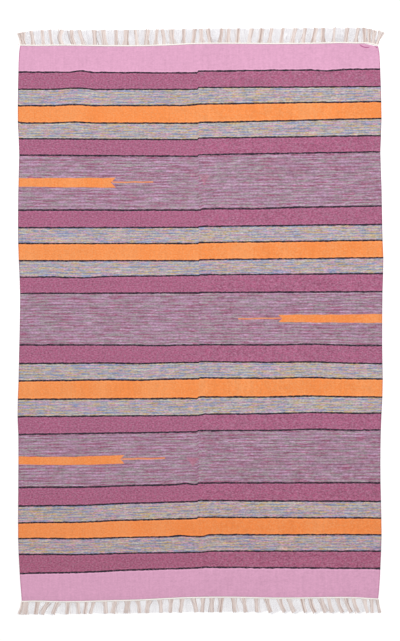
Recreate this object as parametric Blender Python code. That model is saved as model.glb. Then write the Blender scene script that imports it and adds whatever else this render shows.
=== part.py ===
"""Flat-woven cotton kilim rug, lying flat: one striped panel, a twined cord along each end, and the
warp ends beyond each cord gathered into a fringe of hanks.

Metres, +Z up. The weft runs along X and the warp along Y, with the far end at +Y. The origin lies on
the floor, under the middle of the rug's box. The tables below are in millimetres."""

from math import cos, pi, radians, sin
from typing import NamedTuple

import bmesh
import bpy
from mathutils import Vector

MM = 0.001

CLOTH_THICKNESS = 3.0
GAP = 0.3  # between one piece and the next
CORD_WIDTH = 5.0
CORD_HEIGHT = 3.4
CORD_SIDES = 8
SPINE_WIDTH = 2.4  # the row of warp ends as they leave the cord
SPINE_HEIGHT = 2.0
HANK_CROWN = 3.2
HANK_EDGE = 1.2
ROOT_FLARE = 1.25  # a hank's width at its root, over its own
HANK_SECTIONS = (0.0, 0.35, 0.7, 1.0)  # shares of the way from root to cut end

GRID_PITCH = 48.0  # the panel's columns and rows
FINE_PITCH = 9.0  # the same where the far right corner is puckered
FINE_ACROSS_FROM = 505.0
FINE_ALONG_FROM = 860.0


class Selvedge(NamedTuple):
    """Where the two long edges lie at one place along the rug."""

    along: float
    left: float
    right: float


class End(NamedTuple):
    """Where the woven ends and the fringe's cut ends lie at one place across the rug."""

    across: float
    far: float
    near: float
    far_cut: float
    near_cut: float


class Fold(NamedTuple):
    """A soft ridge of cloth lifted off the floor: its middle, the turn of its crest from X, in
    degrees, its reach along and across the crest, and how far it is lifted."""

    across: float
    along: float
    turn: float
    reach: float
    half_width: float
    lift: float


class Hank(NamedTuple):
    """One gathered bunch of warp ends: where it leaves the cord, where it is cut, how far its
    middle strays from the straight way between them, and its width there and at the cut."""

    root: float
    cut: float
    bow: float
    width: float
    cut_width: float


SELVEDGES = [
    Selvedge(*row)
    for row in (
        (-916, -591, 587),
        (-870, -595, 591),
        (-770, -601, 596),
        (-700, -603, 598),
        (-500, -602, 594),
        (-380, -602, 595),
        (-300, -605, 598),
        (-215, -602, 602),
        (-90, -599, 600),
        (90, -596, 601),
        (205, -601, 604),
        (280, -603, 601),
        (440, -602, 598),
        (560, -599, 594),
        (665, -604, 598),
        (820, -602, 594),
        (882, -600, 591),
        (908, -597, 587),
    )
]

ENDS = [
    End(*row)
    for row in (
        (-600, 909, -924, 953, -970),
        (-540, 908, -923, 962, -970),
        (-450, 909, -925, 962, -969),
        (-310, 907, -922, 963, -967),
        (-200, 907, -919, 964, -966),
        (-100, 910, -914, 965, -964),
        (-20, 914, -911, 966, -963),
        (100, 915, -910, 967, -963),
        (250, 914, -913, 968, -963),
        (370, 915, -912, 969, -964),
        (480, 917, -911, 970, -964),
        (520, 916, -912, 970, -964),
        (555, 913, -914, 968, -965),
        (588, 908, -916, 958, -965),
    )
]

FOLDS = [
    Fold(*row)
    for row in (
        (549, 899, -14, 30, 11, 4.5),  # the pucker beside the far right corner
        (580, 893, -52, 22, 9, 3.5),  # the corner itself, drawn in
        (452, 920, 0, 30, 16, 2.5),  # where the far cord stands off the floor
        (-574, 130, 86, 150, 34, 1.6),  # slack along the left selvedge
        (575, -500, 93, 170, 32, 1.5),  # slack along the right selvedge
        (-572, -820, 78, 90, 40, 1.4),  # slack by the near left corner
        (3, 640, 91, 240, 26, 1.2),  # the join of the wefts down the middle
        (9, -560, 89, 300, 26, 1.2),
    )
]

FAR_HANKS = [
    Hank(*row)
    for row in (
        (-584, -591, 0, 12, 24),
        (-553, -561, 1, 12, 12),
        (-520, -524, 0, 12, 13),
        (-491, -499, -1, 11, 11),
        (-458, -457, -7, 14, 15),
        (-418, -427, -3, 14, 15),
        (-385, -402, -1, 12, 13),
        (-349, -351, 0, 13, 14),
        (-317, -323, 0, 16, 18),
        (-279, -280, 0, 13, 14),
        (-247, -245, 0, 16, 20),
        (-210, -215, 0, 12, 13),
        (-178, -173, -2, 14, 17),
        (-148, -143, -1, 12, 13),
        (-120, -127, 1, 13, 14),
        (-91, -96, -1, 15, 20),
        (-55, -55, 0, 12, 14),
        (-25, -19, 0, 13, 15),
        (5, 1, -1, 13, 14),
        (31, 22, 1, 13, 13),
        (64, 70, 0, 12, 14),
        (90, 93, 0, 14, 15),
        (121, 125, 0, 13, 14),
        (160, 169, -1, 14, 16),
        (195, 203, 0, 14, 16),
        (226, 236, 0, 12, 13),
        (265, 273, 0, 13, 13),
        (302, 315, -1, 13, 14),
        (337, 346, 0, 13, 13),
        (372, 383, -1, 14, 15),
        (403, 404, 0, 13, 14),
        (438, 443, 0, 10, 10),
        (478, 487, 0, 13, 13),
        (512, 521, 0, 11, 12),
        (544, 543, 0, 11, 11),
        (558, 557, 0, 8, 10),
        (570, 574, 0, 8, 11),
        (582, 597, 0, 8, 20),
    )
]

NEAR_HANKS = [
    Hank(*row)
    for row in (
        (-587, -599, 0, 9, 13),
        (-574, -580, 0, 11, 14),
        (-538, -545, 0, 14, 16),
        (-503, -524, -1, 13, 14),
        (-472, -488, -1, 13, 15),
        (-438, -442, 0, 13, 14),
        (-407, -402, 1, 11, 12),
        (-377, -383, 0, 12, 14),
        (-352, -365, 0, 10, 11),
        (-316, -312, 0, 12, 13),
        (-282, -291, 0, 14, 17),
        (-241, -246, 0, 15, 20),
        (-207, -201, 1, 12, 14),
        (-170, -178, -1, 14, 18),
        (-133, -130, 0, 12, 13),
        (-96, -101, 0, 14, 15),
        (-60, -67, 0, 13, 15),
        (-25, -14, 1, 13, 15),
        (9, 5, 0, 12, 13),
        (37, 36, 0, 13, 14),
        (71, 64, 0, 14, 15),
        (108, 114, 0, 13, 15),
        (142, 149, 0, 12, 13),
        (184, 187, 0, 13, 14),
        (219, 232, -2, 14, 15),
        (262, 278, -3, 13, 15),
        (292, 309, -2, 13, 14),
        (335, 347, -1, 13, 14),
        (363, 379, -3, 13, 16),
        (397, 413, -2, 13, 15),
        (423, 435, -1, 12, 13),
        (453, 470, -3, 12, 14),
        (478, 498, -2, 12, 14),
        (505, 521, -2, 12, 14),
        (541, 552, -1, 11, 11),
        (566, 567, 0, 11, 12),
        (583, 595, 0, 9, 11),
    )
]


def mix(a, b, share):
    return a + (b - a) * share


def read(rows, column, at):
    """A column's value at a place in the rows' first column, on a smooth curve through them."""
    at = min(max(at, rows[0][0]), rows[-1][0])
    k = next((i for i in range(1, len(rows)) if at <= rows[i][0]), len(rows) - 1)
    before, low, high, after = (
        rows[max(i, 0)] if i < len(rows) else rows[-1] for i in (k - 2, k - 1, k, k + 1)
    )
    span = high[0] - low[0]
    value = [getattr(row, column) for row in (before, low, high, after)]
    rise_low = (value[2] - value[0]) / (high[0] - before[0]) * span
    rise_high = (value[3] - value[1]) / (after[0] - low[0]) * span
    t = (at - low[0]) / span
    return (
        value[1] * (2 * t**3 - 3 * t**2 + 1)
        + rise_low * (t**3 - 2 * t**2 + t)
        + value[2] * (3 * t**2 - 2 * t**3)
        + rise_high * (t**3 - t**2)
    )


def stations(low, high, fine_from):
    """Places from low to high, a grid pitch apart, and a fine pitch apart past fine_from."""
    coarse = round((fine_from - low) / GRID_PITCH)
    fine = round((high - fine_from) / FINE_PITCH)
    return [mix(low, fine_from, i / coarse) for i in range(coarse)] + [
        mix(fine_from, high, i / fine) for i in range(fine + 1)
    ]


ACROSS = stations(ENDS[0].across, ENDS[-1].across, FINE_ACROSS_FROM)
ALONG = stations(SELVEDGES[0].along, SELVEDGES[-1].along, FINE_ALONG_FROM)


def lift(x, y):
    """How far the folds hold the cloth's underside off the floor."""
    height = 0.0
    for fold in FOLDS:
        turn = radians(fold.turn)
        away = (x - fold.across, y - fold.along)
        down_crest = (away[0] * cos(turn) + away[1] * sin(turn)) / fold.reach
        over_crest = (away[1] * cos(turn) - away[0] * sin(turn)) / fold.half_width
        if abs(down_crest) < 1 and abs(over_crest) < 1:
            height += fold.lift * (cos(down_crest * pi / 2) * cos(over_crest * pi / 2)) ** 2
    return height


def panel_point(across, along):
    """The place in the rug's outline that a column and a row of the panel's grid meet at."""
    share_across = (across - ACROSS[0]) / (ACROSS[-1] - ACROSS[0])
    share_along = (along - ALONG[0]) / (ALONG[-1] - ALONG[0])
    return (
        mix(read(SELVEDGES, "left", along), read(SELVEDGES, "right", along), share_across),
        mix(read(ENDS, "near", across), read(ENDS, "far", across), share_along),
    )


def end_line(side):
    """The panel's end as the points of its columns; side is 1 at the far end and -1 at the near."""
    return [panel_point(across, ALONG[-1] if side > 0 else ALONG[0]) for across in ACROSS]


def on_line(line, x):
    """The height of a line of points over X, straight between them and on past its ends."""
    k = next((i for i in range(1, len(line)) if x <= line[i][0]), len(line) - 1)
    (x0, y0), (x1, y1) = line[k - 1], line[k]
    return mix(y0, y1, (x - x0) / (x1 - x0))


def new_material(name, colour, roughness):
    material = bpy.data.materials.new(name)
    material.use_nodes = True
    shader = material.node_tree.nodes["Principled BSDF"]
    shader.inputs["Base Color"].default_value = (*colour, 1.0)
    shader.inputs["Roughness"].default_value = roughness
    shader.inputs["Metallic"].default_value = 0.0
    material.diffuse_color = (*colour, 1.0)
    return material


def new_object(name, mesh, material):
    """An object of the finished bmesh, which it frees, with its points turned into metres."""
    mesh.normal_update()
    for vertex in mesh.verts:
        vertex.co *= MM
    data = bpy.data.meshes.new(name)
    mesh.to_mesh(data)
    mesh.free()
    data.materials.append(material)
    piece = bpy.data.objects.new(name, data)
    bpy.context.scene.collection.objects.link(piece)
    return piece


def closed_sheet(name, points, thickness, faces, material):
    """A solid from a sheet of faces that run anticlockwise as seen from above: each point gets a
    twin its own thickness above it, and a wall closes the rim."""
    mesh = bmesh.new()
    under = [mesh.verts.new(point) for point in points]
    over = [
        mesh.verts.new(Vector(point) + Vector((0, 0, thick)))
        for point, thick in zip(points, thickness, strict=True)
    ]
    sides = {(face[i - 1], face[i]) for face in faces for i in range(len(face))}
    for face in faces:
        mesh.faces.new([over[i] for i in face])
        mesh.faces.new([under[i] for i in reversed(face)])
    for a, b in sorted(sides):
        if (b, a) not in sides:
            mesh.faces.new((under[a], under[b], over[b], over[a]))
    return new_object(name, mesh, material)


def woven_panel(material):
    """The cloth: one sheet with its uneven outline, flat on the floor but for its folds."""
    points = []
    for along in ALONG:
        for across in ACROSS:
            x, y = panel_point(across, along)
            points.append((x, y, lift(x, y)))
    wide = len(ACROSS)
    faces = [
        (k, k + 1, k + 1 + wide, k + wide)
        for k in range(wide * (len(ALONG) - 1))
        if (k + 1) % wide
    ]
    return closed_sheet("woven_panel", points, [CLOTH_THICKNESS] * len(points), faces, material)


def end_cord(name, side, material):
    """The twined cord that locks the last weft: an oval swept along the panel's end."""
    mesh = bmesh.new()
    flat = cos(pi / CORD_SIDES)  # how far out a flat lies, over a corner
    rings = []
    for x, y in end_line(side):
        middle = Vector((x, y + side * (GAP + CORD_WIDTH / 2), lift(x, y) + CORD_HEIGHT / 2))
        ring = []
        for k in range(CORD_SIDES):
            angle = (k + 0.5) * 2 * pi / CORD_SIDES
            out = CORD_WIDTH / 2 / flat * cos(angle)
            up = CORD_HEIGHT / 2 / flat * sin(angle)
            ring.append(mesh.verts.new(middle + Vector((0, out, up))))
        rings.append(ring)
    for ring, following in zip(rings, rings[1:], strict=False):
        for k in range(CORD_SIDES):
            mesh.faces.new((ring[k - 1], ring[k], following[k], following[k - 1]))
    mesh.faces.new(rings[0][::-1])
    mesh.faces.new(rings[-1])
    return new_object(name, mesh, material)


def hank_width(hank, share):
    """A hank's width at a share of the way from its root to its cut end."""
    waist = HANK_SECTIONS[1]
    if share < waist:
        return mix(hank.width * ROOT_FLARE, hank.width, share / waist)
    return mix(hank.width, hank.cut_width, (share - waist) / (1 - waist))


def fringe(name, side, hanks, material):
    """One comb: a spine along the end cord, with every hank of this end as a tooth."""
    line = end_line(side)
    off_panel = side * (2 * GAP + CORD_WIDTH)
    cut_column = "far_cut" if side > 0 else "near_cut"
    points = []
    thickness = []
    faces = []
    columns = []  # the spine's columns so far, each as its inner and its outer point

    def add_point(x, y, z, thick):
        points.append((x, y, z))
        thickness.append(thick)
        return len(points) - 1

    def add_column(x):
        y = on_line(line, x)
        column = [
            add_point(x, y + off_panel + side * out, lift(x, y), SPINE_HEIGHT)
            for out in (0, SPINE_WIDTH)
        ]
        if columns:
            faces.append((columns[-1][0], column[0], column[1], columns[-1][1]))
        columns.append(column)
        return column[1]

    def add_tooth(hank, roots):
        row = roots
        for share in HANK_SECTIONS[1:]:
            middle = mix(hank.root, hank.cut, share) + hank.bow * sin(share * pi)
            cut = read(ENDS, cut_column, middle)
            following = []
            for step, root in zip((-1, 0, 1), roots, strict=True):
                x = middle + step * hank_width(hank, share) / 2
                y = mix(points[root][1], cut, share)
                z = points[root][2] * (1 - share) ** 2
                following.append(add_point(x, y, z, HANK_EDGE if step else HANK_CROWN))
            for i in (0, 1):
                faces.append((row[i], row[i + 1], following[i + 1], following[i]))
            row = following

    done = -1e9  # how far along X the spine has come
    for hank in hanks:
        half = hank_width(hank, 0) / 2
        for x, _ in line:
            if done + SPINE_WIDTH < x < hank.root - half - SPINE_WIDTH and columns:
                add_column(x)
        roots = [add_column(hank.root + step * half) for step in (-1, 0, 1)]
        add_tooth(hank, roots)
        done = hank.root + half
    if side < 0:
        faces = [face[::-1] for face in faces]
    return closed_sheet(name, points, thickness, faces, material)


def centre(pieces):
    """Moves every mesh so that the middle of the rug's box is over the origin."""
    corners = [vertex.co for piece in pieces for vertex in piece.data.vertices]
    middle = Vector(
        [(min(p[i] for p in corners) + max(p[i] for p in corners)) / 2 for i in (0, 1)] + [0]
    )
    for piece in pieces:
        for vertex in piece.data.vertices:
            vertex.co -= middle


def main():
    for thing in list(bpy.data.objects):
        bpy.data.objects.remove(thing, do_unlink=True)
    cloth = new_material("striped_cotton", (0.38, 0.19, 0.29), 0.9)
    ivory = new_material("ivory_cotton", (0.86, 0.82, 0.75), 0.85)
    warp = new_material("natural_warp", (0.70, 0.58, 0.48), 0.85)
    centre(
        [
            woven_panel(cloth),
            end_cord("end_cord_far", 1, ivory),
            end_cord("end_cord_near", -1, ivory),
            fringe("fringe_far", 1, FAR_HANKS, warp),
            fringe("fringe_near", -1, NEAR_HANKS, warp),
        ]
    )


main()
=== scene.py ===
"""Flat-woven cotton kilim rug, laid out on the floor: a striped panel, a twined cord along each end
and a gathered fringe beyond each cord.

Metres, +Z up. The weft runs along X and the warp along Y, with the far end at +Y. The tables below
are in millimetres, in the rug's own plan, which plan_to_frame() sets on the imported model."""

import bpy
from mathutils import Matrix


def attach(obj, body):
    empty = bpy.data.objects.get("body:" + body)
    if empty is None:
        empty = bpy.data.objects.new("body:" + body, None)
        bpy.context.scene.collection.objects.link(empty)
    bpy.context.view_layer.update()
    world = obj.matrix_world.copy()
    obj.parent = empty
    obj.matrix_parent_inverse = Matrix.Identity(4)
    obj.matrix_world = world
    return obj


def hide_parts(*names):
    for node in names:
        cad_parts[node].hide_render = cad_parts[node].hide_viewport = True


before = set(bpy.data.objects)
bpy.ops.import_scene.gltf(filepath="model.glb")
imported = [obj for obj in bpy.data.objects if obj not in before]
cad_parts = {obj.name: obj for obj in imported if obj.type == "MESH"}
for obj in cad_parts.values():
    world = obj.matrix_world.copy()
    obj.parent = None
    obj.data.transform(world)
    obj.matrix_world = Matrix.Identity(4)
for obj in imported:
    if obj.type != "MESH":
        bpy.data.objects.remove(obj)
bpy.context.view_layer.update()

from math import cos, pi, radians, sin, sqrt
from typing import NamedTuple

import bpy
from bpy.props import FloatProperty, FloatVectorProperty, IntProperty, PointerProperty
from mathutils import Vector, noise

bl_info = {
    "name": "Kilim rug",
    "version": (1, 0, 0),
    "blender": (4, 5, 0),
    "location": "3D View > Sidebar > Kilim",
    "description": "Weaves a flat striped cotton rug with twined ends and gathered fringes",
    "category": "Object",
}

MM = 0.001

CLOTH_THICKNESS = 3.0
GAP = 0.3  # between one piece and the next
CLOTH_LEFT, CLOTH_RIGHT = -600.0, 597.0  # the panel's usual edges, from which the weft is laid out
HALF_WIDTH = 600.0  # where the arrows start, from the middle
JOIN = -6.0  # across, where the wefts of the two halves usually meet
CORD_WIDTH = 5.0
CORD_HEIGHT = 3.4
CORD_YARNS = 3
CORD_ALONG = 912.0  # about where both cords lie along the rug
CORD_SECTIONS = 160
SIDE_RIM = (0.0, 0.35, 1.1, 2.4)  # the steps in from a selvedge, which is rounded over
END_RIM = (0.0, 0.15, 0.45, 1.0)  # and in from a woven end, which the twining holds flat
ROOT_FLARE = 1.25  # a hank's width at its root, over its own
HANK_WAIST = 0.35  # the share of the way to the cut end where the flare has gone
HANK_SECTIONS = 8

# The stripe plan counts in bands. Band 0 starts at the first dark thread. Each repeat is five bands
# with a dark thread on both sides of each, then a marled field three bands long.
REPEAT_BANDS = 8
REPEAT_THREADS = 6
LAST_THREAD_BAND = 29
END_BANDS = 1.5  # the plain pink end beyond the outermost thread
BAND_LENGTH = 57.0  # a usual band, in millimetres

# The stage, in metres.
FLOOR_HALF = 6.0
FLOOR_DROP = 0.0002  # how far the floor lies under the rug
LIGHT_SIZE = (2.6, 2.0)
LIGHT_AT = (0.25, 1.35, 4.9)
LIGHT_AIM = (0.1, 0.15, 0.0)
CAMERA_AT = (-0.0027, 0.0016)


class Selvedge(NamedTuple):
    """Where the two long edges lie at one place along the rug."""

    along: float
    left: float
    right: float


class End(NamedTuple):
    """Where the woven ends and the fringe's cut ends lie at one place across the rug."""

    across: float
    far: float
    near: float
    far_cut: float
    near_cut: float


class Fold(NamedTuple):
    """A soft ridge of cloth lifted off the floor: its middle, the turn of its crest from X, in
    degrees, its reach along and across the crest, and how far it is lifted."""

    across: float
    along: float
    turn: float
    reach: float
    half_width: float
    lift: float


class Thread(NamedTuple):
    """A dark parting thread: where the wefts of the left and right halves join, over what length
    across it steps there, and how far along the rug it lies at the left edge, on both sides of the
    join, and at the right edge."""

    join: float
    step: float
    left: float
    join_left: float
    join_right: float
    right: float


class Hump(NamedTuple):
    """Where the weft was beaten in unevenly, so that the dark threads bow towards the far end: its
    middle, how far it reaches across, the bands that it takes in, and how far the threads bow. It
    fades out within one more band."""

    across: float
    reach: float
    first_band: float
    last_band: float
    rise: float


class Crease(NamedTuple):
    """Painted shade along a sharp crease where the drawn-in corner puckers the pink end: its middle,
    its turn from X in degrees, its reach each way, how far its ends turn up from its middle, and its
    half width."""

    across: float
    along: float
    turn: float
    reach: float
    sag: float
    half_width: float


class Inlay(NamedTuple):
    """A few short rows of rosier yarn beside the join, each shorter than the one before: their
    middle, their half width at the far edge, where that edge and the near tip lie along the rug,
    and how strongly they show."""

    across: float
    half_width: float
    far: float
    near: float
    strength: float


class Arrow(NamedTuple):
    """An orange bar woven in from one edge, with a forked end and a thin shaft beyond it. side is
    -1 from the left edge and 1 from the right; the places across are measured from the middle, and
    bow is how far the bar's own middle lies off the straight."""

    side: int
    edge_far: float
    edge_near: float
    tip_far: float
    tip_near: float
    tip: float
    notch: float
    shaft_end: float
    shaft_at_notch: float
    shaft_at_end: float
    shaft_half: float
    bow: float


class Hank(NamedTuple):
    """One gathered bunch of warp ends: where it leaves the cord, where it is cut, how far its
    middle strays from the straight way between them, and its width there and at the cut."""

    root: float
    cut: float
    bow: float
    width: float
    cut_width: float


SELVEDGES = [
    Selvedge(*row)
    for row in (
        (-916, -591, 587),
        (-870, -595, 591),
        (-770, -601, 596),
        (-700, -603, 598),
        (-500, -602, 594),
        (-380, -602, 595),
        (-300, -605, 598),
        (-215, -602, 602),
        (-90, -599, 600),
        (90, -596, 601),
        (205, -601, 604),
        (280, -603, 601),
        (440, -602, 598),
        (560, -599, 594),
        (665, -604, 598),
        (820, -602, 594),
        (882, -600, 591),
        (908, -597, 587),
    )
]

ENDS = [
    End(*row)
    for row in (
        (-600, 909, -924, 953, -970),
        (-540, 908, -923, 962, -970),
        (-450, 909, -925, 962, -969),
        (-310, 907, -922, 963, -967),
        (-200, 907, -919, 964, -966),
        (-100, 910, -914, 965, -964),
        (-20, 914, -911, 966, -963),
        (100, 915, -910, 967, -963),
        (250, 914, -913, 968, -963),
        (370, 915, -912, 969, -964),
        (480, 917, -911, 970, -964),
        (520, 916, -912, 970, -964),
        (552, 916, -914, 968, -965),
        (588, 908, -916, 958, -965),
    )
]

FOLDS = [
    Fold(*row)
    for row in (
        (549, 899, -14, 30, 11, 4.5),  # the pucker beside the far right corner
        (580, 893, -52, 22, 9, 3.5),  # the corner itself, drawn in
        (452, 920, 0, 30, 16, 2.5),  # where the far cord stands off the floor
        (-574, 130, 86, 150, 34, 1.6),  # slack along the left selvedge
        (575, -500, 93, 170, 32, 1.5),  # slack along the right selvedge
        (-572, -820, 78, 90, 40, 1.4),  # slack by the near left corner
        (3, 640, 91, 240, 26, 1.2),  # the join of the wefts down the middle
        (9, -560, 89, 300, 26, 1.2),
    )
]

THREADS = [
    Thread(*row)
    for row in (
        (-7, 5, 822, 819, 825, 832),
        (-7, 5, 765, 765, 771, 774),
        (-30, 60, 711, 712, 716, 725),
        (-7, 8, 654, 653, 655, 669),
        (-8, 5, 602, 599, 604, 612),
        (-7, 5, 548, 544, 549, 559),
        (3, 8, 366, 366, 370, 380),
        (-7, 5, 308, 309, 312, 319),
        (-8, 5, 256, 256, 259, 267),
        (-7, 5, 199, 199, 202, 209),
        (-7, 5, 145, 150, 152.5, 157),
        (-7, 20, 91, 93, 94, 97),
        (-5, 5, -79, -79.5, -78, -81),
        (-7, 5, -141, -137, -134, -141),
        (-5, 5, -198, -190, -188, -191),
        (-9, 5, -259, -256, -251, -251),
        (5, 20, -316, -312, -308, -304),
        (-8, 5, -375, -366, -362, -360),
        (-7, 5, -550, -540, -535, -534),
        (-7, 5, -612, -596, -593, -596),
        (-9, 5, -667, -652, -648, -651),
        (18, 20, -719, -712, -706, -706),
        (20, 44, -771, -764, -760, -760),
        (0, 20, -834, -815, -813, -817),
    )
]

HUMPS = [
    Hump(*row)
    for row in (
        (-394, 46, 0, 0, 5.0),
        (-415, 80, 1, 1, 4.2),
        (-415, 80, 2, 3, 3.0),
        (418, 70, 0, 0, -4.0),
        (-606, 20, 3, 3, 5.0),
        (180, 120, 8, 8, -2.5),
        (-400, 120, 12, 12, -4.0),
        (-55, 50, 12, 12, 1.2),
        (-150, 100, 16, 16, -1.6),
        (-200, 110, 17, 18, -2.5),
        (365, 150, 16, 21, 3.0),
        (-51, 34, 24, 24, 4.0),
        (-66, 54, 27, 27, 3.8),
        (-395, 160, 24, 29, -2.5),
    )
]

# Where shade is painted along the creases of the puckered corner.
CREASES = [
    Crease(*row)
    for row in (
        (541, 904.0, -14, 20, 7.0, 3.0),
        (578, 907.0, -43, 9, 0.0, 3.2),
    )
]

INLAYS = [
    Inlay(*row)
    for row in (
        (13, 21, 482, 442, 0.55),
        (-25, 27, -452, -487, 0.75),
    )
]

ARROWS = [
    Arrow(*row)
    for row in (
        (-1, 472, 443, 473, 440.5, 280, 296, 156, 458.5, 458.5, 2.3, 0.0),
        (1, 23, -6.5, 20, -3.5, 257, 269, 124, 9.5, 7.0, 2.3, 0.0),
        (-1, -447, -473.5, -442.5, -470.5, 252, 264, 117, -457.0, -453.0, 2.7, -3.5),
    )
]

FAR_HANKS = [
    Hank(*row)
    for row in (
        (-586, -593, 0, 17, 32),
        (-553, -561, 1, 11, 11),
        (-520, -524, 0, 11, 12),
        (-491, -499, -1, 10, 10),
        (-458, -457, -7, 13, 14),
        (-418, -427, -3, 13, 14),
        (-385, -402, -1, 11, 12),
        (-349, -351, 0, 12, 13),
        (-317, -323, 0, 15, 17),
        (-279, -280, 0, 12, 13),
        (-247, -245, 0, 15, 19),
        (-210, -215, 0, 11, 12),
        (-178, -173, -2, 13, 16),
        (-148, -143, -1, 11, 12),
        (-120, -127, 1, 12, 13),
        (-91, -96, -1, 14, 19),
        (-55, -55, 0, 11, 13),
        (-25, -19, 0, 12, 14),
        (5, 1, -1, 12, 13),
        (31, 22, 1, 12, 12),
        (64, 70, 0, 11, 13),
        (90, 93, 0, 13, 14),
        (121, 125, 0, 12, 13),
        (160, 169, -1, 13, 15),
        (195, 203, 0, 13, 15),
        (226, 236, 0, 11, 12),
        (265, 273, 0, 12, 12),
        (302, 315, -1, 12, 13),
        (337, 346, 0, 12, 12),
        (372, 383, -1, 13, 14),
        (403, 404, 0, 12, 13),
        (438, 443, 0, 9, 9),
        (478, 487, 0, 12, 12),
        (512, 521, 0, 10, 11),
        (543, 541, 0, 12, 14),
        (557, 557, 0, 10, 15),
        (570, 575, 0, 10, 17),
        (582, 600, 0, 9, 25),
    )
]

NEAR_HANKS = [
    Hank(*row)
    for row in (
        (-586, -597, 0, 12, 17),
        (-575, -580, 0, 13, 17),
        (-538, -545, 0, 14, 16),
        (-503, -524, -1, 13, 14),
        (-472, -488, -1, 13, 15),
        (-438, -442, 0, 13, 14),
        (-407, -402, 1, 11, 12),
        (-377, -383, 0, 12, 14),
        (-352, -365, 0, 10, 11),
        (-316, -312, 0, 12, 13),
        (-282, -291, 0, 14, 17),
        (-241, -246, 0, 15, 20),
        (-207, -201, 1, 12, 14),
        (-170, -178, -1, 14, 18),
        (-133, -130, 0, 12, 13),
        (-96, -101, 0, 14, 15),
        (-60, -67, 0, 13, 15),
        (-25, -14, 1, 13, 15),
        (9, 5, 0, 12, 13),
        (37, 36, 0, 13, 14),
        (71, 64, 0, 14, 15),
        (108, 114, 0, 13, 15),
        (142, 149, 0, 12, 13),
        (184, 187, 0, 13, 14),
        (219, 232, -2, 14, 15),
        (262, 278, -3, 13, 15),
        (292, 309, -2, 13, 14),
        (335, 347, -1, 13, 14),
        (363, 379, -3, 13, 16),
        (397, 413, -2, 13, 15),
        (423, 435, -1, 12, 13),
        (453, 470, -3, 12, 14),
        (478, 498, -2, 12, 14),
        (505, 521, -2, 12, 14),
        (541, 552, -1, 11, 11),
        (566, 567, 0, 11, 12),
        (583, 592, 0, 9, 11),
    )
]


# ---------------------------------------------------------------- the rug's plan


def mix(a, b, share):
    return a + (b - a) * share


def ease(share):
    """0 to 1 with level ends, and held there outside."""
    share = min(max(share, 0.0), 1.0)
    return share * share * (3 - 2 * share)


def read(rows, column, at):
    """A column's value at a place in the rows' first column, on a smooth curve through them."""
    at = min(max(at, rows[0][0]), rows[-1][0])
    k = next((i for i in range(1, len(rows)) if at <= rows[i][0]), len(rows) - 1)
    before, low, high, after = (
        rows[max(i, 0)] if i < len(rows) else rows[-1] for i in (k - 2, k - 1, k, k + 1)
    )
    span = high[0] - low[0]
    value = [getattr(row, column) for row in (before, low, high, after)]
    rise_low = (value[2] - value[0]) / (high[0] - before[0]) * span
    rise_high = (value[3] - value[1]) / (after[0] - low[0]) * span
    t = (at - low[0]) / span
    return (
        value[1] * (2 * t**3 - 3 * t**2 + 1)
        + rise_low * (t**3 - 2 * t**2 + t)
        + value[2] * (3 * t**2 - 2 * t**3)
        + rise_high * (t**3 - t**2)
    )


def lift(x, y):
    """How far the folds hold the cloth's underside off the floor."""
    height = 0.0
    for fold in FOLDS:
        turn = radians(fold.turn)
        away = (x - fold.across, y - fold.along)
        down_crest = (away[0] * cos(turn) + away[1] * sin(turn)) / fold.reach
        over_crest = (away[1] * cos(turn) - away[0] * sin(turn)) / fold.half_width
        if abs(down_crest) < 1 and abs(over_crest) < 1:
            height += fold.lift * (cos(down_crest * pi / 2) * cos(over_crest * pi / 2)) ** 2
    return height


def thread_along(thread, x):
    """How far along the rug a dark thread lies: straight on each side of the join, and a short
    step between the two."""
    on_left = mix(thread.left, thread.join_left, (x - CLOTH_LEFT) / (thread.join - CLOTH_LEFT))
    on_right = mix(thread.join_right, thread.right, (x - thread.join) / (CLOTH_RIGHT - thread.join))
    return mix(on_left, on_right, ease((x - thread.join) / thread.step + 0.5))


def humps_along(band, x):
    """How far the humps carry a place in the stripe plan towards the far end."""
    total = 0.0
    for hump in HUMPS:
        off_middle = min(abs(x - hump.across) / hump.reach, 1.0)
        taken_in = ease(band - hump.first_band + 1) * ease(hump.last_band + 1 - band)
        total += hump.rise * cos(off_middle * pi / 2) ** 2 * taken_in
    return total


def band_along(band, x):
    """How far along the rug a place in the stripe plan lies, at one place across."""
    if band < 0:
        y = mix(thread_along(THREADS[0], x), read(ENDS, "far", x), -band / END_BANDS)
    elif band >= LAST_THREAD_BAND:
        beyond = (band - LAST_THREAD_BAND) / END_BANDS
        y = mix(thread_along(THREADS[-1], x), read(ENDS, "near", x), beyond)
    else:
        repeat, step = divmod(band, REPEAT_BANDS)
        last = REPEAT_THREADS - 1
        k = int(repeat) * REPEAT_THREADS + min(int(step), last)
        share = step - int(step) if step < last else (step - last) / (REPEAT_BANDS - last)
        y = mix(thread_along(THREADS[k], x), thread_along(THREADS[k + 1], x), share)
    return y + humps_along(band, x)


def cad_shift():
    """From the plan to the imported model, in millimetres: the mean of two opposite corners."""
    points = [vertex.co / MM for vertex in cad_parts["woven_panel"].data.vertices]
    far_left = max(points, key=lambda p: p.y - p.x)
    near_right = max(points, key=lambda p: p.x - p.y)
    plan_x = (SELVEDGES[-1].left + SELVEDGES[0].right) / 2
    plan_y = (ENDS[0].far + ENDS[-1].near) / 2
    return Vector(((far_left.x + near_right.x) / 2 - plan_x, (far_left.y + near_right.y) / 2 - plan_y, 0))


SHIFT = cad_shift()


def plan_to_frame(x, y, z):
    return (Vector((x, y, z)) + SHIFT) * MM


def end_along(side, x):
    """Where the panel ends, at the far end for side 1 and at the near end for side -1."""
    return read(ENDS, "far" if side > 0 else "near", x)


# ---------------------------------------------------------------- node trees


def linear(code):
    """A colour as RGBA in linear light, from its six-digit hexadecimal code."""
    parts = [int(code[i : i + 2], 16) / 255 for i in (0, 2, 4)]
    return (*[p / 12.92 if p <= 0.04045 else ((p + 0.055) / 1.055) ** 2.4 for p in parts], 1.0)


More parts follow.
